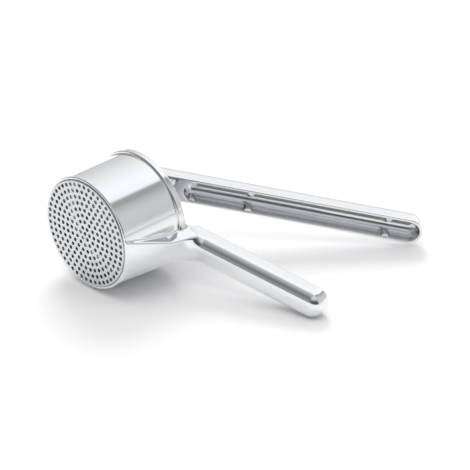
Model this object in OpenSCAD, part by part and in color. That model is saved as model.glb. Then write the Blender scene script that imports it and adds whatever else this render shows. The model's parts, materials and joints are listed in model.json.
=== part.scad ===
// Hand press with a perforated cup and two long handles.
// Swing frame: X runs along the handles, Y along the cup from its perforated
// end to its rim, Z along the hinge pins. Y = 0 is the front of the rim flange.
// Distances are in millimetres.

/* [Cup] */
// Outer diameter of the barrel
cup_d = 95; // [80:1:120]
// Length of the barrel up to the flange
cup_len = 56; // [45:1:80]
// Wall of the barrel
cup_wall = 2.4; // [1.8:0.1:4]
// How far the flange stands out from the barrel
flange_proud = 2.2; // [1.5:0.1:5]
// Thickness of the flange
flange_t = 5.8; // [4:0.1:9]

/* [Insert] */
// Wall of the sleeve
sleeve_wall = 0.7; // [0.5:0.1:1.2]
// Gap between the sleeve and the barrel
sleeve_gap = 0.2; // [0.1:0.05:0.5]
// Diameter of the rolled rim
curl_d = 2.6; // [2:0.1:3.4]
// Thickness of the sieve plate
sieve_t = 1; // [0.6:0.1:1.8]
// How far the sieve plate stands out of the barrel
sieve_proud = 0.8; // [0.2:0.1:1]
// Diameter of the sieve holes
hole_d = 3.2; // [2:0.1:3.4]
// Distance from one ring of holes to the next
hole_pitch = 5.22; // [4.6:0.01:6]
// Turn of the rings of holes
hole_turn = 13; // [0:1:59]
// Plain margin outside the last ring
hole_margin = 1.5; // [1:0.1:6]

/* [Handles] */
// Width of both handles
handle_w = 24.5; // [20:0.5:30]
// Depth of both channels
handle_depth = 16.5; // [12:0.5:20]
// Wall of the channels
handle_wall = 2.6; // [2:0.1:3.4]
// Round on the outer edges of the channels
handle_round = 9.5; // [5:0.5:9.5]
// Length of the lower handle from the flange to the centre of its tip
lower_len = 108.5; // [90:0.5:140]
// Angle of the lower handle to the flange
lower_angle = 15.8; // [12:0.1:18]
// Height of the lower handle's edge where it crosses the cup axis
lower_rise = 2; // [1:0.1:4]
// Length of the press lever from the hinge to the centre of its tip
lever_len = 253.5; // [220:0.5:300]
// Distance of the lever's open edge below the hinge
lever_drop = 7.4; // [6:0.1:8.5]
// Diameter of the half-round bosses inside the lever
boss_d = 6.4; // [4:0.1:7]
// Thickness of the fairing under the lower handle at its thick end
fairing_t = 9; // [6:0.5:12]
// Half width of the fairing at the front of the barrel
fairing_w = 21; // [16:0.5:26]

/* [Hinge] */
// Distance of the hinge outside the rolled rim
hinge_gap = 1; // [0.6:0.1:3]
// Height of the hinge above the flange
hinge_rise = 4.2; // [3.6:0.1:8]
// Radius of the lever's knuckle
knuckle_r = 4.6; // [4.2:0.1:6]
// Width of the lever's knuckle
knuckle_w = 8; // [6:0.5:10]
// Thickness of each hinge ear
ear_t = 3.5; // [3:0.1:5]
// Diameter of the hinge pin
pin_d = 4.5; // [3.5:0.1:5]
// Radial clearance of a pin in the part that turns on it
pin_gap = 0.05; // [0.03:0.01:0.08]
// Gap on each side of a knuckle or an eye
side_gap = 0.25; // [0.15:0.05:0.4]
// Thickness of a pin's head
head_t = 1.2; // [0.8:0.1:2]

/* [Plunger] */
// Thickness of the plunger plate
plate_t = 2.5; // [2:0.1:4]
// Least gap between the plate and the sleeve
plate_gap = 0.4; // [0.3:0.05:1]
// Gap between the plate and the sieve with the handles closed
press_gap = 1.5; // [1:0.1:4]
// Width of the plunger's eye
eye_w = 10; // [8:0.5:12]
// Radius of the plunger's eye
eye_r = 6; // [5:0.5:7]
// Thickness of each lug that holds the plunger
lug_t = 3.8; // [3:0.1:4.5]
// Diameter of the plunger's pin
plunger_pin_d = 5; // [4:0.1:6]
// Radius of the stem's round foot
foot_r = 18; // [15:0.5:24]
// Thickness of the stem's round foot
foot_t = 3; // [2:0.1:5]
// Thickness of the stem's webs
web_t = 5; // [4:0.5:7]
// Shank diameter of the rivets
rivet_d = 4; // [3:0.1:5]

/* [Swing] */
// Angle of the lever to the flange with the handles closed
closed_angle = 13; // [11:0.5:16]
// Opening of the lever from closed as it lies here
rest_open = 28.2; // [0:0.1:40]
// Opening of the lever from closed at its limit
full_open = 44.2; // [40:0.1:46]
// Angle of the plunger's pin below the hinge with the handles closed
pin_low = 12; // [10:0.5:16]

/* [Hidden] */

$fn = 96;
eps = 0.01;
over = 5;

cup_r = cup_d / 2;
flange_r = cup_r + flange_proud;
bore_r = cup_r - cup_wall;
sleeve_r = bore_r - sleeve_gap;
sleeve_in = sleeve_r - sleeve_wall;
curl_r = sleeve_in + curl_d;
curl_top = flange_t + curl_d;
front_y = -cup_len - sieve_proud;
sieve_back = front_y + sieve_t;
edge_r = min(1.1, cup_wall / 2 - 0.05);
rings = floor((sleeve_r - hole_d / 2 - hole_margin) / hole_pitch);

hinge_x = -(curl_r + hinge_gap + knuckle_r);
hinge_y = flange_t + hinge_rise;
ear_r = knuckle_r + 0.4;
ear_out = knuckle_w / 2 + side_gap + ear_t;
lever_angle = closed_angle + rest_open;

pin_mid = full_open / 2 - pin_low;
pin_end = full_open - pin_low;
pin_arm = -2 * hinge_x / (1.5 * cos(pin_low) + cos(pin_mid) - 0.5 * cos(pin_end));
plate_play = -hinge_x - pin_arm * cos(pin_low);
plate_r = sleeve_in - plate_play - plate_gap;
plunger_len = hinge_y - pin_arm * sin(pin_low) - sieve_back - press_gap;
tilt_ratio = pin_arm * (cos(pin_low) - cos(pin_end)) / (full_open * PI / 180) / plunger_len;
plunger_tilt = tilt_ratio * rest_open;
pin_x = hinge_x + pin_arm * cos(rest_open - pin_low);
pin_y = hinge_y + pin_arm * sin(rest_open - pin_low);
lug_x = pin_arm * cos(closed_angle + pin_low);
lug_y = -pin_arm * sin(closed_angle + pin_low);
lug_in = eye_w / 2 + side_gap;
lug_out = lug_in + lug_t;
lug_r = eye_r + 0.5;
rivet_at = foot_r * 0.7;

lever_start = ear_r + 3.4;
channel_start = lug_x + lug_r + 14;
bosses = [channel_start + 7.3, channel_start + 54.4, lever_len - 17];
lever_top = handle_depth - lever_drop;
channel_round = handle_round - handle_wall;
channel_w = handle_w - 2 * handle_wall;

lower_tip = flange_r + lower_len;
lower_run = lower_tip / cos(lower_angle);
ramp_start = curl_r + 1;
ramp_end = flange_r + 1.5;
lower_close = (cup_r + 1.5) / cos(lower_angle);
flare_r = 9;
flare_end = cup_r + 11;
tip_core = handle_w / 2 - handle_round;
tip_x = lower_tip + (handle_depth - handle_round) * sin(lower_angle);
tilt = asin(flange_r / norm([tip_x, handle_w / 2])) - atan2(handle_w / 2, tip_x);

far_x = lower_tip * cos(tilt) + handle_round
    + tip_core * norm([cos(lower_angle) * cos(tilt), sin(tilt)])
    + (handle_depth - handle_round) * sin(lower_angle) * cos(tilt);
near_x = hinge_x * cos(tilt) - ear_out * sin(tilt) - ear_r;
far_y = hinge_y + lever_len * sin(lever_angle) - lever_drop * cos(lever_angle) + handle_round
    + tip_core * sin(lever_angle) + (handle_depth - handle_round) * cos(lever_angle);

// Puts the swing frame on the table with the tip of the lower handle resting on it.
module set_down() {
    translate([-(far_x + near_x) / 2, -(far_y + front_y) / 2, flange_r])
        rotate([0, tilt, 0]) children();
}

// Moves the lever's own frame, with its origin on the hinge, to its rest position.
module at_lever() {
    set_down() translate([hinge_x, hinge_y, 0]) rotate([0, 0, lever_angle]) children();
}

// Moves the plunger's own frame, with its origin on its pin, to its rest position.
module at_plunger() {
    set_down() translate([pin_x, pin_y, 0]) rotate([0, 0, plunger_tilt]) children();
}

// Turns a profile of radius and height about the cup's axis.
module turned() {
    rotate([-90, 0, 0]) rotate_extrude() children();
}

module round_box(x0, x1, y0, y1, r) {
    translate([x0 + r, y0]) square([x1 - x0 - 2 * r, y1 - y0]);
    translate([x0, y0 + r]) square([x1 - x0, y1 - y0 - 2 * r]);
    for (x = [x0 + r, x1 - r], y = [y0 + r, y1 - r]) translate([x, y]) circle(r);
}

// Half of a handle's section: square at the open edge, round at the back.
module half_section(half, depth, r) {
    square([half, depth - r]);
    square([half - r, depth]);
    translate([half - r, depth - r]) intersection() {
        circle(r);
        square(r);
    }
}

// A bar with a round end: x along it, y from its open edge to its back.
module bar(x0, x1, half, depth, r) {
    translate([x0, 0, 0]) rotate([0, 90, 0]) linear_extrude(x1 - x0) {
        half_section(half, depth, r);
        mirror([1, 0]) half_section(half, depth, r);
    }
    translate([x1, 0, 0]) rotate([-90, 0, 0]) rotate_extrude() half_section(half, depth, r);
}

// The hollow of a channel, round at both ends.
module hollow(x0, x1) {
    r = channel_w / 2;
    translate([0, -over, 0]) {
        translate([x0 + r, 0, -r]) cube([x1 - x0 - r, over + eps, 2 * r]);
        for (x = [x0 + r, x1]) translate([x, 0, 0]) rotate([-90, 0, 0]) cylinder(r = r, h = over + eps);
    }
    bar(x0 + r, x1, r, handle_depth - handle_wall, channel_round);
    translate([x0 + r, 0, 0]) rotate([-90, 0, 0]) rotate_extrude()
        half_section(r, handle_depth - handle_wall, channel_round);
}

module boss(x) {
    for (s = [-1, 1]) translate([x, 0.8, s * channel_w / 2]) rotate([-90, 0, 0])
        cylinder(d = boss_d, h = handle_depth - handle_round);
}

// The lower handle's frame: x along it, y from its open edge to its back.
module at_lower() {
    translate([0, lower_rise, 0]) rotate([0, 0, lower_angle]) mirror([0, 1, 0]) children();
}

module ear_outline() {
    translate([hinge_x, hinge_y]) circle(ear_r);
    polygon([[hinge_x + ear_r, hinge_y], [hinge_x + ear_r, flange_t / 2], [-bore_r - 0.8, -8],
        [-cup_r - 0.5, -8], [hinge_x - ear_r, hinge_y - 5], [hinge_x - ear_r, hinge_y]]);
}

// The fairing is a leaning barrel, so it starts flush with the front and ends proud.
module fairing() {
    root = -handle_depth + 2;
    lean = atan(fairing_t / (root + cup_len));
    half = handle_w / 2 - 1;
    intersection() {
        translate([0, -cup_len + 1, 0]) rotate([0, 0, -lean]) turned()
            translate([0, -2]) square([cup_r - 0.2, cup_len + 20]);
        rotate([0, 90, 0]) linear_extrude(cup_r + 3 * fairing_t)
            polygon([[-fairing_w, 1 - cup_len], [fairing_w, 1 - cup_len], [half, root], [half, 4],
                [-half, 4], [-half, root]]);
    }
}

// Widens the lower handle where it meets the barrel, most at its back.
module root_flare() {
    top = handle_w / 2 + 2;
    back = handle_w / 2 + flare_r;
    intersection() {
        linear_extrude(handle_depth - 1) difference() {
            translate([bore_r, -back]) square([flare_end - bore_r, 2 * back]);
            for (s = [-1, 1]) translate([flare_end, s * back]) circle(flare_r);
        }
        rotate([90, 0, 90]) linear_extrude(flare_end)
            polygon([[-top, -eps], [top, -eps], [back + eps, handle_depth], [-back - eps, handle_depth]]);
    }
}

// What the lower handle's root keeps clear of: the room above the flange.
module above_flange() {
    translate([0, 0, -cup_r]) linear_extrude(cup_d)
        polygon([[0, flange_t], [ramp_start, flange_t],
            [ramp_end, lower_rise + ramp_end * tan(lower_angle)], [ramp_end, cup_r], [0, cup_r]]);
}

module hopper() {
    color("Silver") set_down() difference() {
        union() {
            turned() {
                round_box(bore_r, cup_r, -cup_len, flange_t, edge_r);
                round_box(bore_r, flange_r, 0, flange_t, edge_r);
            }
            difference() {
                union() {
                    at_lower() bar(bore_r, lower_run, handle_w / 2, handle_depth, handle_round);
                    at_lower() rotate([-90, 0, 0]) root_flare();
                    fairing();
                }
                at_lower() hollow(lower_close, lower_run);
                above_flange();
                turned() translate([0, -cup_len - over]) square([bore_r + cup_wall / 2, cup_len + flange_r]);
            }
            difference() {
                for (s = [-1, 1]) translate([0, 0, s * (ear_out - ear_t / 2) - ear_t / 2])
                    linear_extrude(ear_t) ear_outline();
                turned() {
                    translate([0, -cup_len]) square([bore_r + cup_wall / 2, cup_len + flange_t]);
                    translate([0, flange_t - eps]) square([curl_r + hinge_gap / 2, cup_r]);
                }
            }
        }
        translate([hinge_x, hinge_y, 0]) cylinder(d = pin_d, h = 4 * ear_out, center = true);
    }
}

module insert_sleeve() {
    color("LightSteelBlue") set_down() turned() {
        translate([sleeve_in, sieve_back]) square([sleeve_wall, flange_t + curl_d / 2 - sieve_back]);
        translate([sleeve_in + curl_d / 2, flange_t + curl_d / 2]) circle(d = curl_d);
    }
}

module sieve_plate() {
    r = sieve_t / 2;
    color("Gainsboro") set_down() difference() {
        turned() {
            translate([0, front_y]) square([sleeve_r - r, sieve_t]);
            translate([sleeve_r - r, front_y + r]) circle(r);
            translate([sleeve_r - r, front_y + r]) square([r, r]);
        }
        rotate([90, 0, 0]) translate([0, 0, -sieve_back - 1]) {
            cylinder(d = hole_d, h = sieve_t + 2);
            for (i = [1:rings], k = [0:6 * i - 1]) rotate(k * 60 / i + hole_turn)
                translate([i * hole_pitch, 0, 0]) cylinder(d = hole_d, h = sieve_t + 2);
        }
    }
}

module lug_outline() {
    translate([lug_x, lug_y]) circle(lug_r);
    polygon([[lug_x - lug_r, lug_y], [lug_x + lug_r, lug_y], [lug_x + lug_r + 5, -lever_drop + 2],
        [lug_x - lug_r - 8, -lever_drop + 2]]);
}

module press_lever() {
    color("Silver") at_lever() difference() {
        union() {
            difference() {
                union() {
                    translate([0, -lever_drop, 0])
                        bar(lever_start, lever_len, handle_w / 2, handle_depth, handle_round);
                    translate([0, -knuckle_r + 1.2, -knuckle_w / 2])
                        cube([lever_start + 2, knuckle_r + lever_top - 3, knuckle_w]);
                }
                rotate([0, 0, -closed_angle]) translate([knuckle_r, curl_top + 1.2 - hinge_y - 40, -handle_w])
                    cube([60 - knuckle_r, 40, 2 * handle_w]);
                translate([0, -lever_drop, 0]) difference() {
                    hollow(channel_start, lever_len);
                    for (x = bosses) boss(x);
                }
            }
            cylinder(r = knuckle_r, h = knuckle_w, center = true);
            for (s = [-1, 1]) translate([0, 0, s * (lug_out - lug_t / 2) - lug_t / 2])
                linear_extrude(lug_t) lug_outline();
        }
        cylinder(d = pin_d + 2 * pin_gap, h = 2 * knuckle_w, center = true);
        translate([lug_x, lug_y, 0]) cylinder(d = plunger_pin_d, h = 4 * lug_out, center = true);
        translate([lug_x - lug_r - 1, -lever_drop - 1, -lug_in])
            cube([2 * lug_r + 4, 8, 2 * lug_in]);
    }
}

// A pin with a round head at its upper end.
module pin(d, half) {
    cylinder(d = d, h = 2 * half + head_t + 0.6, center = true);
    translate([0, 0, half]) rotate_extrude() {
        square([d * 0.8 - 0.4, head_t]);
        square([d * 0.8, head_t - 0.4]);
        translate([d * 0.8 - 0.4, head_t - 0.4]) circle(0.4);
    }
}

// A ring that keeps the pin from sliding out.
module pin_ring(d, half) {
    translate([0, 0, -half - head_t / 2]) difference() {
        cylinder(d = d * 1.6, h = head_t / 2);
        translate([0, 0, -1]) cylinder(d = d, h = head_t + 2);
    }
}

module hinge_pin() {
    color("Goldenrod") set_down() translate([hinge_x, hinge_y, 0]) pin(pin_d, ear_out);
}

module hinge_ring() {
    color("Tomato") set_down() translate([hinge_x, hinge_y, 0]) pin_ring(pin_d, ear_out);
}

module plunger_stem() {
    foot_y = -plunger_len + plate_t + foot_t;
    color("SandyBrown") at_plunger() difference() {
        union() {
            cylinder(r = eye_r, h = eye_w, center = true);
            translate([0, 0, -eye_w / 2]) linear_extrude(eye_w)
                polygon([[-eye_r, 0], [eye_r, 0], [eye_r - 1, -eye_r - 6], [1 - eye_r, -eye_r - 6]]);
            translate([0, 0, -web_t / 2]) linear_extrude(web_t)
                polygon([[-eye_r + 1.5, -4], [eye_r - 1.5, -4], [foot_r - 3, foot_y - eps],
                    [3 - foot_r, foot_y - eps]]);
            rotate([0, 90, 0]) translate([0, 0, -web_t / 2]) linear_extrude(web_t)
                polygon([[-eye_w / 2, -eye_r - 5], [eye_w / 2, -eye_r - 5], [foot_r - 3, foot_y - eps],
                    [3 - foot_r, foot_y - eps]]);
            translate([0, foot_y - foot_t, 0]) rotate([-90, 0, 0]) cylinder(r = foot_r, h = foot_t);
        }
        cylinder(d = plunger_pin_d + 2 * pin_gap, h = 2 * eye_w, center = true);
        rivet_holes();
    }
}

module rivet_holes() {
    for (a = [45:90:315]) rotate([0, a, 0]) translate([rivet_at, -plunger_len - 1, 0])
        rotate([-90, 0, 0]) cylinder(d = rivet_d, h = plate_t + foot_t + 2);
}

module plunger_plate() {
    r = plate_t / 2 - 0.2;
    color("LightSteelBlue") at_plunger() difference() {
        translate([0, -plunger_len, 0]) turned() {
            square([plate_r - r, plate_t]);
            translate([0, r]) square([plate_r, plate_t - 2 * r]);
            for (y = [r, plate_t - r]) translate([plate_r - r, y]) circle(r);
        }
        rivet_holes();
    }
}

module rivet(i) {
    head_r = rivet_d * 0.85;
    color("Goldenrod") at_plunger() rotate([0, 45 + 90 * i, 0]) translate([rivet_at, -plunger_len, 0])
        turned() {
            square([rivet_d / 2, plate_t + foot_t + 1]);
            translate([0, plate_t + foot_t]) square([head_r - 0.5, 1.2]);
            translate([0, plate_t + foot_t]) square([head_r, 0.7]);
            translate([head_r - 0.5, plate_t + foot_t + 0.7]) circle(0.5);
        }
}

module plunger_rivet_1() { rivet(0); }

module plunger_rivet_2() { rivet(1); }

module plunger_rivet_3() { rivet(2); }

module plunger_rivet_4() { rivet(3); }

module plunger_pin() {
    color("Goldenrod") at_lever() translate([lug_x, lug_y, 0]) pin(plunger_pin_d, lug_out);
}

module plunger_pin_ring() {
    color("Tomato") at_lever() translate([lug_x, lug_y, 0]) pin_ring(plunger_pin_d, lug_out);
}

hopper();
insert_sleeve();
sieve_plate();
press_lever();
hinge_pin();
hinge_ring();
plunger_stem();
plunger_plate();
plunger_rivet_1();
plunger_rivet_2();
plunger_rivet_3();
plunger_rivet_4();
plunger_pin();
plunger_pin_ring();
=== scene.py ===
import json
import math
import bmesh
import bpy
import numpy as np
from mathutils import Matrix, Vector
from mathutils.geometry import delaunay_2d_cdt


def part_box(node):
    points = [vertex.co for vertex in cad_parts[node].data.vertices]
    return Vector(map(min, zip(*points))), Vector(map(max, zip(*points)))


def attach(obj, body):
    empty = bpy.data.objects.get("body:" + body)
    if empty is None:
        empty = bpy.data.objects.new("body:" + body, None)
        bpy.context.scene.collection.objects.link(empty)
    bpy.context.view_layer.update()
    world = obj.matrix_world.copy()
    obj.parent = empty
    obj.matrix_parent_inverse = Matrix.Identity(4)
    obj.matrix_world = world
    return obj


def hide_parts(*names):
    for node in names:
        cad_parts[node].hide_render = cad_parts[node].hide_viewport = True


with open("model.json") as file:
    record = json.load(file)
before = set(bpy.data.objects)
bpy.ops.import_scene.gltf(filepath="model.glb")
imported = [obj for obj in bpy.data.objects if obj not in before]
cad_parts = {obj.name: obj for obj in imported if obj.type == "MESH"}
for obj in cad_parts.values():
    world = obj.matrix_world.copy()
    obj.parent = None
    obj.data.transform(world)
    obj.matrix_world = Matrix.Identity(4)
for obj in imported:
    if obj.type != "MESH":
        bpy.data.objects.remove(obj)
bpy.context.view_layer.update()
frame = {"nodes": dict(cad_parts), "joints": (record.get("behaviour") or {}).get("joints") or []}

NODES = frame["nodes"]

# ---------------------------------------------------------------- sizes, in millimetres
CUP_R, CUP_LEN, CUP_WALL, FLANGE_OUT, FLANGE_T = 47.5, 56.0, 2.4, 2.2, 5.8
BORE_R = CUP_R - CUP_WALL
FLANGE_R = CUP_R + FLANGE_OUT
SLEEVE_R, SLEEVE_IN, CURL_D = 44.9, 44.2, 2.6
SIEVE_T, SIEVE_OUT, HOLE_R, PITCH, RINGS = 1.0, 0.8, 1.6, 5.22, 8
W, DEPTH, WALL, ROUND = 24.5, 16.5, 2.6, 9.5
LOWER_ANGLE, LOWER_RISE, LOWER_LEN = math.radians(15.8), 2.0, 108.5
LEVER_LEN, LEVER_DROP = 253.5, 7.4
CLOSED, REST, LOW, FULL = math.radians(13), math.radians(28.2), math.radians(12), math.radians(44.2)
KNUCKLE_R, KNUCKLE_W, EAR_T, SIDE = 4.6, 8.0, 3.5, 0.25
PIN_D, PLUNGER_PIN_D = 4.5, 5.0
EYE_R, EYE_W, LUG_T, FOOT_R, FOOT_T, WEB_T, PLATE_T = 6.0, 10.0, 3.8, 18.0, 3.0, 5.0, 2.5
HOLE_TURN = 13
FAIRING_HALF, FAIRING_RISE = 21.0, 9.0
EAR_FOOT = 8.0
RIM_CLEAR = FLANGE_T + CURL_D + 1.2
BOSS_R, BOSS_SINK = 3.2, 0.8
PLATE_EDGE = 1.05
SMALL = 0.001

HX = -(SLEEVE_IN + CURL_D + 1.0 + KNUCKLE_R)
HY = FLANGE_T + 4.2
EAR_R = KNUCKLE_R + 0.4
EAR_OUT = KNUCKLE_W / 2 + SIDE + EAR_T
LEVER_ANGLE = CLOSED + REST
ARM = -2 * HX / (1.5 * math.cos(LOW) + math.cos(FULL / 2 - LOW) - 0.5 * math.cos(FULL - LOW))
PLATE_R = SLEEVE_IN - (-HX - ARM * math.cos(LOW)) - 0.4
PLUNGER_LEN = HY - ARM * math.sin(LOW) + CUP_LEN + SIEVE_OUT - SIEVE_T - 1.5
TILT_RATIO = ARM * (math.cos(LOW) - math.cos(FULL - LOW)) / FULL / PLUNGER_LEN
PLUNGER_TILT = TILT_RATIO * REST
PX = HX + ARM * math.cos(REST - LOW)
PY = HY + ARM * math.sin(REST - LOW)
LX, LY = ARM * math.cos(CLOSED + LOW), -ARM * math.sin(CLOSED + LOW)
LUG_R, LUG_IN = EYE_R + 0.5, EYE_W / 2 + SIDE
LUG_OUT = LUG_IN + LUG_T
CHANNEL_0 = LX + LUG_R + 14
BOSSES = (CHANNEL_0 + 7.3, CHANNEL_0 + 54.4, LEVER_LEN - 17)
TIP = FLANGE_R + LOWER_LEN
CURL_R = SLEEVE_IN + CURL_D
RAMP_END = FLANGE_R + 1.5
CHANNEL_1 = (CUP_R + 1.5) / math.cos(LOWER_ANGLE)
TAN_LOWER = math.tan(LOWER_ANGLE)

# ---------------------------------------------------------------- the swing frame
# u runs along the handles, v along the cup's axis and w along the pins, in millimetres.
axis = frame["joints"][0]["axis"]
SLOPE = math.atan2(axis[0], axis[2])
lo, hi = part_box("insert_sleeve")
ORIGIN = np.array([(lo[0] + hi[0]) / 2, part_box("sieve_plate")[0][1] + (CUP_LEN + SIEVE_OUT) / 1000,
                   (lo[2] + hi[2]) / 2])
TURN = np.array([[math.cos(SLOPE), 0, math.sin(SLOPE)], [0, 1, 0], [-math.sin(SLOPE), 0, math.cos(SLOPE)]])


def to_swing(p):
    return (p - ORIGIN) @ TURN * 1000


def to_row(q):
    return q / 1000 @ TURN.T + ORIGIN


def turn_2d(x, y, a):
    return x * math.cos(a) + y * math.sin(a), -x * math.sin(a) + y * math.cos(a)


# ---------------------------------------------------------------- distance fields
def smin(a, b, k):
    h = np.clip(0.5 + 0.5 * (b - a) / k, 0, 1)
    return b + (a - b) * h - k * h * (1 - h)


def smax(a, b, k):
    return -smin(-a, -b, k)


def corner(a, b, r):
    """Where two half-spaces meet, with a round of radius r."""
    return np.hypot(np.maximum(a + r, 0), np.maximum(b + r, 0)) + np.minimum(np.maximum(a + r, b + r), 0) - r


def slab(x, a, b):
    return np.abs(x - (a + b) / 2) - (b - a) / 2


def outline(x, y, pts):
    """Signed distance to a closed polygon."""
    d = np.full(x.shape, 1e9)
    inside = np.zeros(x.shape, bool)
    for (ax, ay), (bx, by) in zip(pts, pts[1:] + pts[:1]):
        ex, ey = bx - ax, by - ay
        t = np.clip(((x - ax) * ex + (y - ay) * ey) / (ex * ex + ey * ey), 0, 1)
        d = np.minimum(d, np.hypot(x - ax - t * ex, y - ay - t * ey))
        if ey:
            inside ^= ((ay > y) != (by > y)) & (x < ex * (y - ay) / ey + ax)
    return np.where(inside, -d, d)


def bar(x, y, w, x1):
    """A handle's outside, rounded on its back and at its end x1."""
    q = np.where(x > x1, np.hypot(x - x1, w), np.abs(w)) - W / 2
    return smax(corner(q, y - DEPTH, ROUND), -y, 1.2)


def hollow(x, y, w, x0, x1):
    """A handle's channel from x0 to the end's centre x1."""
    r = W / 2 - WALL
    t = np.clip(x, x0 + r, x1)
    return corner(np.hypot(x - t, w) - r, y - (DEPTH - WALL), ROUND - WALL)


def hopper(p):
    """The barrel with its flange, fairing, lower handle and hinge ears."""
    u, v, w = p.T
    r = np.hypot(u, w)
    shell = smin(corner(slab(r, BORE_R, CUP_R), slab(v, -CUP_LEN, FLANGE_T), 1.1),
                 corner(slab(r, BORE_R, FLANGE_R), slab(v, 0, FLANGE_T), 1.1), 0.9)
    x, y = turn_2d(u, v - LOWER_RISE, LOWER_ANGLE)
    y = -y
    lean = math.atan(FAIRING_RISE / (CUP_LEN - DEPTH + 2))
    e = u * math.cos(lean) - (v + CUP_LEN - 1) * math.sin(lean)
    half = np.interp(v, [1 - CUP_LEN, 2 - DEPTH], [FAIRING_HALF, W / 2 - 1])
    fairing = smax(smax(np.hypot(e, w) - CUP_R + 0.2, (np.abs(w) - half) * 0.974, 1.8),
                   slab(v, 1 - CUP_LEN, 4), 1.0)
    grip = smax(bar(x, y, w, TIP / math.cos(LOWER_ANGLE)), BORE_R - u, 1.0)
    f = smin(smin(shell, fairing, 1.4), grip, 9.0)
    f = smax(f, -hollow(x, y, w, CHANNEL_1, TIP / math.cos(LOWER_ANGLE)), 1.0)
    sx, sy = RAMP_END - CURL_R - 1, LOWER_RISE + RAMP_END * TAN_LOWER - FLANGE_T
    ramp = ((v - FLANGE_T) * sx - (u - CURL_R - 1) * sy) / math.hypot(sx, sy)
    f = smax(f, np.minimum(v - FLANGE_T, ramp), 0.6)
    ear = smin(np.hypot(u - HX, v - HY) - EAR_R,
               outline(u, v, [(HX + EAR_R, HY), (HX + EAR_R, FLANGE_T / 2), (-BORE_R - 0.8, -EAR_FOOT),
                              (-CUP_R - 0.5, -EAR_FOOT), (HX - EAR_R, HY - 5), (HX - EAR_R, HY)]), 0.1)
    ear = corner(ear, slab(np.abs(w), KNUCKLE_W / 2 + SIDE, EAR_OUT), 0.6)
    ear = np.maximum(ear, np.where(v > FLANGE_T, SLEEVE_IN + CURL_D + 0.5 - r, BORE_R + CUP_WALL / 2 - r))
    f = np.maximum(smin(f, ear, 1.2), np.where(v > FLANGE_T - 1, -99, BORE_R - 0.02 - r))
    return smax(f, PIN_D / 2 - np.hypot(u - HX, v - HY), 0.3)


def press_lever(p):
    """The channel handle with its bosses, neck, knuckle and plunger lugs."""
    u, v, w = p.T
    x, y = turn_2d(u - HX, v - HY, LEVER_ANGLE)
    yb = y + LEVER_DROP
    f = smax(bar(x, yb, w, LEVER_LEN), EAR_R + 3.4 - x, 2.5)
    xc, yc = turn_2d(x, y, -CLOSED)
    f = smax(f, np.minimum(RIM_CLEAR - HY - yc, 60 - xc), 1.5)
    room = hollow(x, yb, w, CHANNEL_0, LEVER_LEN)
    for b in BOSSES:
        post = np.hypot(x - b, np.abs(w) - W / 2 + WALL) - BOSS_R
        boss = smax(post, slab(yb, BOSS_SINK, BOSS_SINK + DEPTH - ROUND), 0.8)
        room = smax(room, -boss, 0.7)
    f = smax(f, -room, 1.0)
    neck = corner(outline(x, y, [(0, -3.4), (13, -3.4), (13, 5.8), (3, 5.8), (0, 4.4)]),
                  np.abs(w) - KNUCKLE_W / 2, 0.4)
    neck = smax(neck, np.minimum(RIM_CLEAR - HY - yc, xc - KNUCKLE_R), 0.3)
    knuckle = corner(np.hypot(x, y) - KNUCKLE_R, np.abs(w) - KNUCKLE_W / 2, 0.4)
    f = smin(f, smin(knuckle, neck, 0.8), 1.5)
    lug = smin(np.hypot(x - LX, y - LY) - LUG_R,
               outline(x, y, [(LX - LUG_R, LY), (LX + LUG_R, LY), (LX + LUG_R + 5, 2 - LEVER_DROP),
                              (LX - LUG_R - 8, 2 - LEVER_DROP)]), 0.1)
    f = smin(f, corner(lug, slab(np.abs(w), LUG_IN, LUG_OUT), 0.7), 1.6)
    f = smax(f, -np.maximum(np.maximum(slab(x, LX - LUG_R - 1, LX + LUG_R + 3), slab(yb, -1, 7)),
                            np.abs(w) - LUG_IN), 0.8)
    f = smax(f, PIN_D / 2 + 0.05 - np.hypot(x, y), 0.3)
    return smax(f, PLUNGER_PIN_D / 2 - np.hypot(x - LX, y - LY), 0.3)


def plunger_stem(p):
    """The eye, the crossed webs and the round foot."""
    u, v, w = p.T
    x, y = turn_2d(u - PX, v - PY, PLUNGER_TILT)
    foot = -PLUNGER_LEN + PLATE_T + FOOT_T
    eye = corner(np.hypot(x, y) - EYE_R, np.abs(w) - EYE_W / 2, 0.6)
    neck = corner(outline(x, y, [(-EYE_R, 0), (EYE_R, 0), (EYE_R - 1, -EYE_R - 6), (1 - EYE_R, -EYE_R - 6)]),
                  np.abs(w) - EYE_W / 2, 0.6)
    web = corner(outline(x, y, [(1.5 - EYE_R, -4), (EYE_R - 1.5, -4), (FOOT_R - 3, foot - 1),
                                (3 - FOOT_R, foot - 1)]), np.abs(w) - WEB_T / 2, 0.8)
    rib = corner(outline(w, y, [(-EYE_W / 2, -EYE_R - 5), (EYE_W / 2, -EYE_R - 5), (FOOT_R - 3, foot - 1),
                                (3 - FOOT_R, foot - 1)]), np.abs(x) - WEB_T / 2, 0.8)
    disc = corner(np.hypot(x, w) - FOOT_R, slab(y, foot - FOOT_T, foot), 0.8)
    f = smin(smin(eye, neck, 0.5), smin(smin(web, rib, 1.5), disc, 2.0), 1.2)
    return smax(f, PLUNGER_PIN_D / 2 + 0.05 - np.hypot(x, y), 0.3)


def gradient(field, p):
    h = 0.02
    g = np.empty_like(p)
    for i in range(3):
        d = np.zeros(3)
        d[i] = h
        g[:, i] = (field(p + d) - field(p - d)) / (2 * h)
    return g


def settle(field, p, steps):
    """Points moved onto the field's surface by Newton steps of 1.5 mm at most."""
    for _ in range(steps):
        g = gradient(field, p)
        n2 = np.maximum((g * g).sum(1), 0.2)
        step = -(field(p) / n2)[:, None] * g
        length = np.linalg.norm(step, axis=1)
        p = p + step * np.minimum(1, 1.5 / np.maximum(length, 1e-9))[:, None]
    return p


def linked(name, mesh):
    ob = bpy.data.objects.new(name, mesh)
    bpy.context.scene.collection.objects.link(ob)
    return ob


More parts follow.
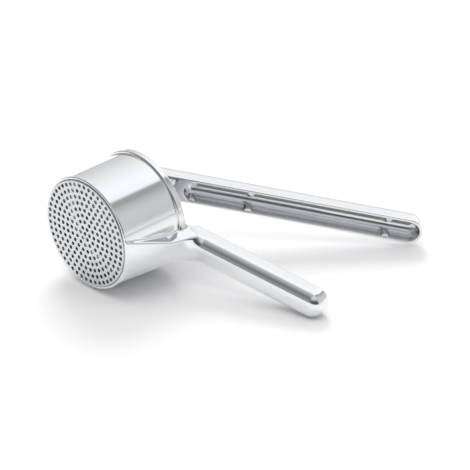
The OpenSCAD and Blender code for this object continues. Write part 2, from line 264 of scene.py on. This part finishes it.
def cast(name, field, voxel, body):
    """A smooth casting: the CAD node remeshed evenly, then drawn onto the field's surface."""
    src = NODES[name].copy()
    src.data = NODES[name].data.copy()
    bpy.context.scene.collection.objects.link(src)
    mod = src.modifiers.new("even", "REMESH")
    mod.mode, mod.voxel_size = "VOXEL", voxel / 1000
    deps = bpy.context.evaluated_depsgraph_get()
    mesh = bpy.data.meshes.new_from_object(src.evaluated_get(deps))
    bpy.data.objects.remove(src)
    co = np.empty(len(mesh.vertices) * 3)
    mesh.vertices.foreach_get("co", co)
    p = to_swing(co.reshape(-1, 3))
    edges = np.empty(len(mesh.edges) * 2, np.int64)
    mesh.edges.foreach_get("vertices", edges)
    edges = edges.reshape(-1, 2)
    count = np.bincount(edges.ravel(), minlength=len(p))[:, None]
    p = settle(field, p, 4)
    for _ in range(3):
        mean = np.empty_like(p)
        for i in range(3):
            mean[:, i] = (np.bincount(edges[:, 0], p[edges[:, 1], i], len(p))
                          + np.bincount(edges[:, 1], p[edges[:, 0], i], len(p)))
        p = settle(field, p + 0.5 * (mean / np.maximum(count, 1) - p), 2)
    p = settle(field, p, 2)
    n = gradient(field, p)
    n /= np.maximum(np.linalg.norm(n, axis=1), 1e-9)[:, None]
    mesh.vertices.foreach_set("co", to_row(p).ravel())
    mesh.update()
    mesh.shade_smooth()
    mesh.normals_split_custom_set_from_vertices((n @ TURN.T).tolist())
    ob = linked(name + "_cast", mesh)
    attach(ob, body)
    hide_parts(name)
    return ob, p


def attribute(ob, name, values):
    layer = ob.data.attributes.new(name, "FLOAT", "POINT")
    layer.data.foreach_set("value", np.asarray(values, np.float32))


def lathe(name, profile, place, segments, closed=True):
    """A profile of (radius, height) turned about Y, then placed in the swing frame."""
    n = len(profile)
    a = np.linspace(0, 2 * np.pi, segments, endpoint=False)
    pts = np.array([(r * math.cos(t), y, r * math.sin(t)) for t in a for r, y in profile])
    faces = []
    for i in range(segments):
        j = (i + 1) % segments
        for k in range(n if closed else n - 1):
            m = (k + 1) % n
            faces.append((i * n + k, i * n + m, j * n + m, j * n + k))
    mesh = bpy.data.meshes.new(name)
    mesh.from_pydata(to_row(place(pts)).tolist(), [], faces)
    bm = bmesh.new()
    bm.from_mesh(mesh)
    bmesh.ops.remove_doubles(bm, verts=bm.verts, dist=1e-7)
    bmesh.ops.recalc_face_normals(bm, faces=bm.faces)
    bm.to_mesh(mesh)
    bm.free()
    mesh.shade_smooth()
    return linked(name, mesh)


def as_is(q):
    return q


def plunger_place(q):
    x, y = turn_2d(q[:, 0], q[:, 1], -PLUNGER_TILT)
    return np.stack([x + PX, y + PY, q[:, 2]], 1)


# ---------------------------------------------------------------- materials
def material(name, **sockets):
    m = bpy.data.materials.new(name)
    m.use_nodes = True
    b = m.node_tree.nodes["Principled BSDF"]
    for k, v in sockets.items():
        b.inputs[k.replace("_", " ")].default_value = v
    return m, m.node_tree, b


def node(t, kind, **props):
    n = t.nodes.new(kind)
    for k, v in props.items():
        if k.startswith("in_"):
            n.inputs[int(k[3:]) if k[3:].isdigit() else k[3:].replace("_", " ")].default_value = v
        else:
            setattr(n, k, v)
    return n


def ramp_between(t, fac, low, high):
    m = node(t, "ShaderNodeMapRange")
    t.links.new(fac, m.inputs[0])
    m.inputs[3].default_value, m.inputs[4].default_value = low, high
    return m.outputs[0]


def noise(t, coords, scale, detail=4.0, stretch=None):
    n = node(t, "ShaderNodeTexNoise", in_Scale=scale, in_Detail=detail)
    if stretch:
        mp = node(t, "ShaderNodeMapping")
        mp.inputs["Scale"].default_value = stretch
        t.links.new(coords, mp.inputs[0])
        coords = mp.outputs[0]
    t.links.new(coords, n.inputs["Vector"])
    return n.outputs["Fac"]


def polished_aluminium():
    m, t, b = material("polished_aluminium", Metallic=1.0)
    coords = node(t, "ShaderNodeTexCoord").outputs["Object"]
    cloud = noise(t, coords, 28.0, 3.0)
    grain = noise(t, coords, 1400.0, 2.0)
    buff = noise(t, coords, 420.0, 3.0, (1.0, 0.12, 1.0))
    raw = node(t, "ShaderNodeAttribute", attribute_name="raw").outputs["Fac"]
    colour = node(t, "ShaderNodeMix", data_type="RGBA")
    t.links.new(cloud, colour.inputs[0])
    colour.inputs[6].default_value = (0.80, 0.81, 0.83, 1)
    colour.inputs[7].default_value = (0.87, 0.875, 0.885, 1)
    sand = node(t, "ShaderNodeMix", data_type="RGBA")
    t.links.new(raw, sand.inputs[0])
    t.links.new(colour.outputs[2], sand.inputs[6])
    sand.inputs[7].default_value = (0.74, 0.75, 0.77, 1)
    t.links.new(sand.outputs[2], b.inputs["Base Color"])
    shine = ramp_between(t, buff, 0.08, 0.13)
    rough = node(t, "ShaderNodeMix", data_type="FLOAT")
    t.links.new(raw, rough.inputs[0])
    t.links.new(shine, rough.inputs[2])
    rough.inputs[3].default_value = 0.15
    t.links.new(rough.outputs[0], b.inputs["Roughness"])
    strength = ramp_between(t, raw, 0.02, 0.10)
    bump = node(t, "ShaderNodeBump", in_Distance=0.0002)
    t.links.new(strength, bump.inputs["Strength"])
    t.links.new(grain, bump.inputs["Height"])
    t.links.new(bump.outputs[0], b.inputs["Normal"])
    return m


def satin_steel(name, light, dark, rough_low, rough_high, scale, stretch=None, bump_strength=0.08):
    m, t, b = material(name, Metallic=1.0)
    coords = node(t, "ShaderNodeTexCoord").outputs["Object"]
    fac = noise(t, coords, scale, 4.0, stretch)
    colour = node(t, "ShaderNodeMix", data_type="RGBA")
    t.links.new(fac, colour.inputs[0])
    colour.inputs[6].default_value = (*dark, 1)
    colour.inputs[7].default_value = (*light, 1)
    t.links.new(colour.outputs[2], b.inputs["Base Color"])
    t.links.new(ramp_between(t, fac, rough_low, rough_high), b.inputs["Roughness"])
    bump = node(t, "ShaderNodeBump", in_Distance=0.0001, in_Strength=bump_strength)
    t.links.new(fac, bump.inputs["Height"])
    t.links.new(bump.outputs[0], b.inputs["Normal"])
    return m


ALU = polished_aluminium()
SIEVE = satin_steel("satin_sieve", (0.72, 0.73, 0.75), (0.62, 0.63, 0.65), 0.30, 0.42, 900.0)
SHEET = satin_steel("brushed_sleeve", (0.74, 0.75, 0.77), (0.60, 0.61, 0.63), 0.22, 0.38, 700.0,
                    (0.05, 1.0, 0.05))
STEEL = satin_steel("pin_steel", (0.68, 0.69, 0.71), (0.55, 0.56, 0.58), 0.20, 0.34, 1200.0)

# ---------------------------------------------------------------- castings
cup, p = cast("hopper", hopper, 0.8, "cup")
x, y = turn_2d(p[:, 0], p[:, 1] - LOWER_RISE, LOWER_ANGLE)
inside = hollow(x, -y, p[:, 2], CHANNEL_1, TIP / math.cos(LOWER_ANGLE))
bore = np.hypot(p[:, 0], p[:, 2]) - BORE_R
attribute(cup, "raw", np.clip(1 - np.minimum(np.abs(inside) - 0.3, bore - 0.3) / 0.5, 0, 1) * (-y > 0.6))
lever, p = cast("press_lever", press_lever, 0.8, "lever")
x, y = turn_2d(p[:, 0] - HX, p[:, 1] - HY, LEVER_ANGLE)
inside = hollow(x, y + LEVER_DROP, p[:, 2], CHANNEL_0, LEVER_LEN)
attribute(lever, "raw", np.clip(1 - (inside - 0.3) / 0.5, 0, 1)
          * (y + LEVER_DROP > 0.6))
stem, p = cast("plunger_stem", plunger_stem, 0.7, "plunger")
attribute(stem, "raw", np.full(len(p), 0.35))
for ob in (cup, lever, stem):
    ob.data.materials.clear()
    ob.data.materials.append(ALU)

# ---------------------------------------------------------------- sleeve and plunger plate
back = -CUP_LEN - SIEVE_OUT + SIEVE_T
ring_y, ring_r = FLANGE_T + CURL_D / 2, SLEEVE_IN + CURL_D / 2
curl = [(ring_r + CURL_D / 2 * math.cos(a), ring_y + CURL_D / 2 * math.sin(a))
        for a in np.radians(np.arange(180, -170, -12))]
sleeve = lathe("insert_sleeve_sheet", [(SLEEVE_IN, back)] + [(SLEEVE_IN, back + k) for k in (15, 30, 45, 60)]
               + curl + [(SLEEVE_R, ring_y - 1.1), (SLEEVE_R, back)], as_is, 192)
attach(sleeve, "cup")
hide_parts("insert_sleeve")
sleeve.data.materials.append(SHEET)
face, rear_face = -PLUNGER_LEN, -PLUNGER_LEN + PLATE_T
turns = np.linspace(0, np.pi / 2, 7)
plate = lathe("plunger_plate_disc",
              [(SMALL, face), (PLATE_R * 0.5, face)]
              + [(PLATE_R - PLATE_EDGE + PLATE_EDGE * math.sin(a),
                  face + PLATE_EDGE - PLATE_EDGE * math.cos(a)) for a in turns]
              + [(PLATE_R - PLATE_EDGE + PLATE_EDGE * math.cos(a),
                  rear_face - PLATE_EDGE + PLATE_EDGE * math.sin(a)) for a in turns]
              + [(PLATE_R * 0.5, rear_face), (SMALL, rear_face)],
              plunger_place, 160, False)
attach(plate, "plunger")
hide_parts("plunger_plate")
plate.data.materials.append(SHEET)


# ---------------------------------------------------------------- sieve plate
def ring(verts, centre, r, y, n):
    """n points of a circle added to verts; gives their numbers."""
    first = len(verts)
    verts += [(centre[0] + r * math.cos(2 * math.pi * s / n), y,
               centre[1] + r * math.sin(2 * math.pi * s / n)) for s in range(n)]
    return list(range(first, first + n))


def walls(rows):
    """The faces between rings that follow each other."""
    n = len(rows[0])
    return [(a[s], b[s], b[(s + 1) % n], a[(s + 1) % n]) for a, b in zip(rows, rows[1:]) for s in range(n)]


def hole_centres():
    centres = [(0.0, 0.0)]
    for i in range(1, RINGS + 1):
        for k in range(6 * i):
            a = math.radians(k * 60 / i + HOLE_TURN)
            centres.append((i * PITCH * math.cos(a), i * PITCH * math.sin(a)))
    return centres


def pierced(verts, loops, centres):
    """The flat faces inside the last loop and outside the others."""
    ids = [i for loop in loops for i in loop]
    pts = [Vector((verts[i][0], verts[i][2])) for i in ids]
    edges, at = [], 0
    for loop in loops:
        n = len(loop)
        edges += [(at + s, at + (s + 1) % n) for s in range(n)]
        at += n
    out = delaunay_2d_cdt(pts, edges, [], 1, 1e-7)
    back_to = [o[0] if o else -1 for o in out[3]]
    faces = []
    for f in out[2]:
        c = sum((out[0][i] for i in f), Vector((0, 0))) / len(f)
        close = [h for h in centres if abs(h[0] - c[0]) < 2 and abs(h[1] - c[1]) < 2]
        if not any((c - Vector(h)).length < HOLE_R for h in close):
            faces.append(tuple(ids[back_to[i]] for i in f))
    return faces


def sieve_mesh():
    """The plate with its holes, each flared a little at both faces."""
    y0, y1 = -CUP_LEN - SIEVE_OUT, -CUP_LEN - SIEVE_OUT + SIEVE_T
    levels = [(0.22, y0), (0.06, y0 + 0.06), (0.0, y0 + 0.22), (0.0, y1 - 0.12), (0.10, y1)]
    verts, faces, front, rear = [], [], [], []
    centres = hole_centres()
    for centre in centres:
        rows = [ring(verts, centre, HOLE_R + grow, y, 24) for grow, y in levels]
        faces += walls(rows)
        front.append(rows[0])
        rear.append(rows[-1])
    edge = [(SLEEVE_R - 0.5 + 0.5 * math.sin(a), y0 + 0.5 - 0.5 * math.cos(a))
            for a in np.linspace(0, np.pi / 2, 5)]
    rows = [ring(verts, (0.0, 0.0), r, y, 192) for r, y in edge + [(SLEEVE_R, y1)]]
    faces += walls(rows)
    faces += pierced(verts, front + [rows[0]], centres)
    faces += pierced(verts, rear + [rows[-1]], centres)
    return verts, faces


verts, faces = sieve_mesh()
mesh = bpy.data.meshes.new("sieve_plate_punched")
mesh.from_pydata(to_row(np.array(verts)).tolist(), [], faces)
bm = bmesh.new()
bm.from_mesh(mesh)
bmesh.ops.recalc_face_normals(bm, faces=bm.faces)
bm.to_mesh(mesh)
bm.free()
mesh.shade_smooth()
sieve = linked("sieve_plate_punched", mesh)
mod = sieve.modifiers.new("flat", "WEIGHTED_NORMAL")
mod.weight, mod.keep_sharp = 100, False
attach(sieve, "cup")
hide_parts("sieve_plate")
sieve.data.materials.append(SIEVE)

# ---------------------------------------------------------------- small CAD pieces keep their shape
PINS = ("hinge_pin", "hinge_ring", "plunger_pin", "plunger_pin_ring")
for name, ob in NODES.items():
    if name in PINS or name.startswith("plunger_rivet"):
        ob.data.materials.clear()
        ob.data.materials.append(STEEL)

# ---------------------------------------------------------------- floor, light and camera
mesh = bpy.data.meshes.new("floor")
mesh.from_pydata([(-30, -30, 0), (30, -30, 0), (30, 30, 0), (-30, 30, 0)], [], [(0, 1, 2, 3)])
floor = linked("floor", mesh)
m, t, b = material("pale_floor", Roughness=0.6)
b.inputs["Base Color"].default_value = (0.93, 0.93, 0.935, 1)
b.inputs["Specular IOR Level"].default_value = 0.2
floor.data.materials.append(m)

world = bpy.data.worlds.new("studio")
bpy.context.scene.world = world
world.use_nodes = True
t = world.node_tree
t.nodes.clear()
direction = node(t, "ShaderNodeTexCoord").outputs["Generated"]
split = node(t, "ShaderNodeSeparateXYZ")
t.links.new(direction, split.inputs[0])


def math_node(kind, a, b):
    n = node(t, "ShaderNodeMath", operation=kind)
    for i, v in enumerate((a, b)):
        if isinstance(v, (int, float)):
            n.inputs[i].default_value = v
        else:
            t.links.new(v, n.inputs[i])
    return n.outputs[0]


def step(value, a, b):
    n = node(t, "ShaderNodeMapRange", interpolation_type="SMOOTHSTEP")
    t.links.new(value, n.inputs[0])
    n.inputs[1].default_value, n.inputs[2].default_value = a, b
    n.inputs[3].default_value, n.inputs[4].default_value = 0, 1
    return n.outputs[0]


sx, sy, sz = split.outputs


def curve(fac, stops, low, high):
    """The level along a list of (place, level) stops between low and high."""
    n = node(t, "ShaderNodeMapRange")
    t.links.new(fac, n.inputs[0])
    n.inputs[1].default_value, n.inputs[2].default_value = low, high
    r = node(t, "ShaderNodeValToRGB")
    t.links.new(n.outputs[0], r.inputs[0])
    e = r.color_ramp.elements
    while len(e) < len(stops):
        e.new(0.5)
    for k, (place, level) in enumerate(stops):
        e[k].position = (place - low) / (high - low)
        e[k].color = (level / 2, level / 2, level / 2, 1)
    return math_node("MULTIPLY", r.outputs[0], 2.0)


def blend(a, b, fac):
    rest = math_node("SUBTRACT", 1.0, fac)
    return math_node("ADD", math_node("MULTIPLY", a, rest), math_node("MULTIPLY", b, fac))


# Towards +Y: by the angle about the Y axis, 0 below, 90 to the right, 180 overhead, 270 to the left.
turned = math_node("MULTIPLY", math_node("ARCTAN2", sz, sx), 180 / math.pi)
turned = math_node("FLOORED_MODULO", math_node("ADD", turned, 90.0), 360.0)
rear = curve(turned, [(0, 0.5), (65, 0.6), (84, 0.75), (91, 0.95), (96, 0.80), (101, 0.655),
                      (120, 0.70), (131, 0.67), (143, 0.53), (150, 0.40), (157, 0.40), (162, 1.12),
                      (180, 1.16), (200, 1.09), (230, 0.91), (250, 0.79), (275, 0.67),
                      (300, 0.70)], 0, 360)
# Towards -Y: on the left darkest halfway up, on the right dark at the horizon and light above.
left = curve(sz, [(-1, 0.5), (0, 0.34), (0.3, 0.33), (0.45, 0.25), (0.65, 0.20), (0.8, 0.32),
                  (0.92, 0.46), (1, 0.6)], -1, 1)
right = curve(sz, [(-1, 0.3), (0, 0.07), (0.3, 0.10), (0.42, 0.22), (0.55, 0.48), (0.66, 0.76),
                   (0.9, 0.82), (1, 0.7)], -1, 1)
front = blend(left, right, step(sx, 0.15, 0.5))
level = blend(front, rear, step(sy, -0.2, 0.15))
room = node(t, "ShaderNodeBackground")
t.links.new(level, room.inputs["Strength"])
room.inputs["Color"].default_value = (0.97, 0.985, 1.0, 1)
rays = node(t, "ShaderNodeLightPath").outputs
# Only reflections see the room: soft light comes from an even one, and the background is white.
out = room.outputs[0]
for ray, strength in (("Is Diffuse Ray", 0.58), ("Is Camera Ray", 1.0)):
    plain = node(t, "ShaderNodeBackground")
    plain.inputs["Color"].default_value = (1, 1, 1, 1)
    plain.inputs["Strength"].default_value = strength
    mix = node(t, "ShaderNodeMixShader")
    t.links.new(rays[ray], mix.inputs[0])
    t.links.new(out, mix.inputs[1])
    t.links.new(plain.outputs[0], mix.inputs[2])
    out = mix.outputs[0]
t.links.new(out, node(t, "ShaderNodeOutputWorld").inputs[0])


def area(name, place, aim, size, power):
    data = bpy.data.lights.new(name, "AREA")
    data.shape, data.size, data.size_y, data.energy = "RECTANGLE", size[0], size[1], power
    ob = linked(name, data)
    ob.location = place
    ob.rotation_euler = (Vector(aim) - Vector(place)).to_track_quat("-Z", "Y").to_euler()
    return ob


key = area("key", (-0.75, 0.55, 1.0), (0.0, 0.0, 0.03), (0.7, 0.7), 9)
fill = area("fill", (0.1, -0.4, 1.7), (0.0, 0.0, 0.0), (1.6, 1.6), 13)
key.visible_glossy = fill.visible_glossy = False

AIM = Vector((ORIGIN[0] + 0.02321, ORIGIN[1] + 0.08754, 0.0))
AZ, EL, FAR = math.radians(45.11), math.radians(29.65), 2.076
away = Vector((math.cos(EL) * math.sin(AZ), -math.cos(EL) * math.cos(AZ), math.sin(EL)))
data = bpy.data.cameras.new("camera")
data.lens, data.sensor_width = 36 * 2500 / 470, 36
data.clip_end = 100
camera = linked("camera", data)
camera.location = AIM + away * FAR
camera.rotation_euler = (-away).to_track_quat("-Z", "Y").to_euler()
bpy.context.scene.camera = camera
bpy.context.scene.view_settings.view_transform = "Standard"
bpy.context.scene.view_settings.look = "None"
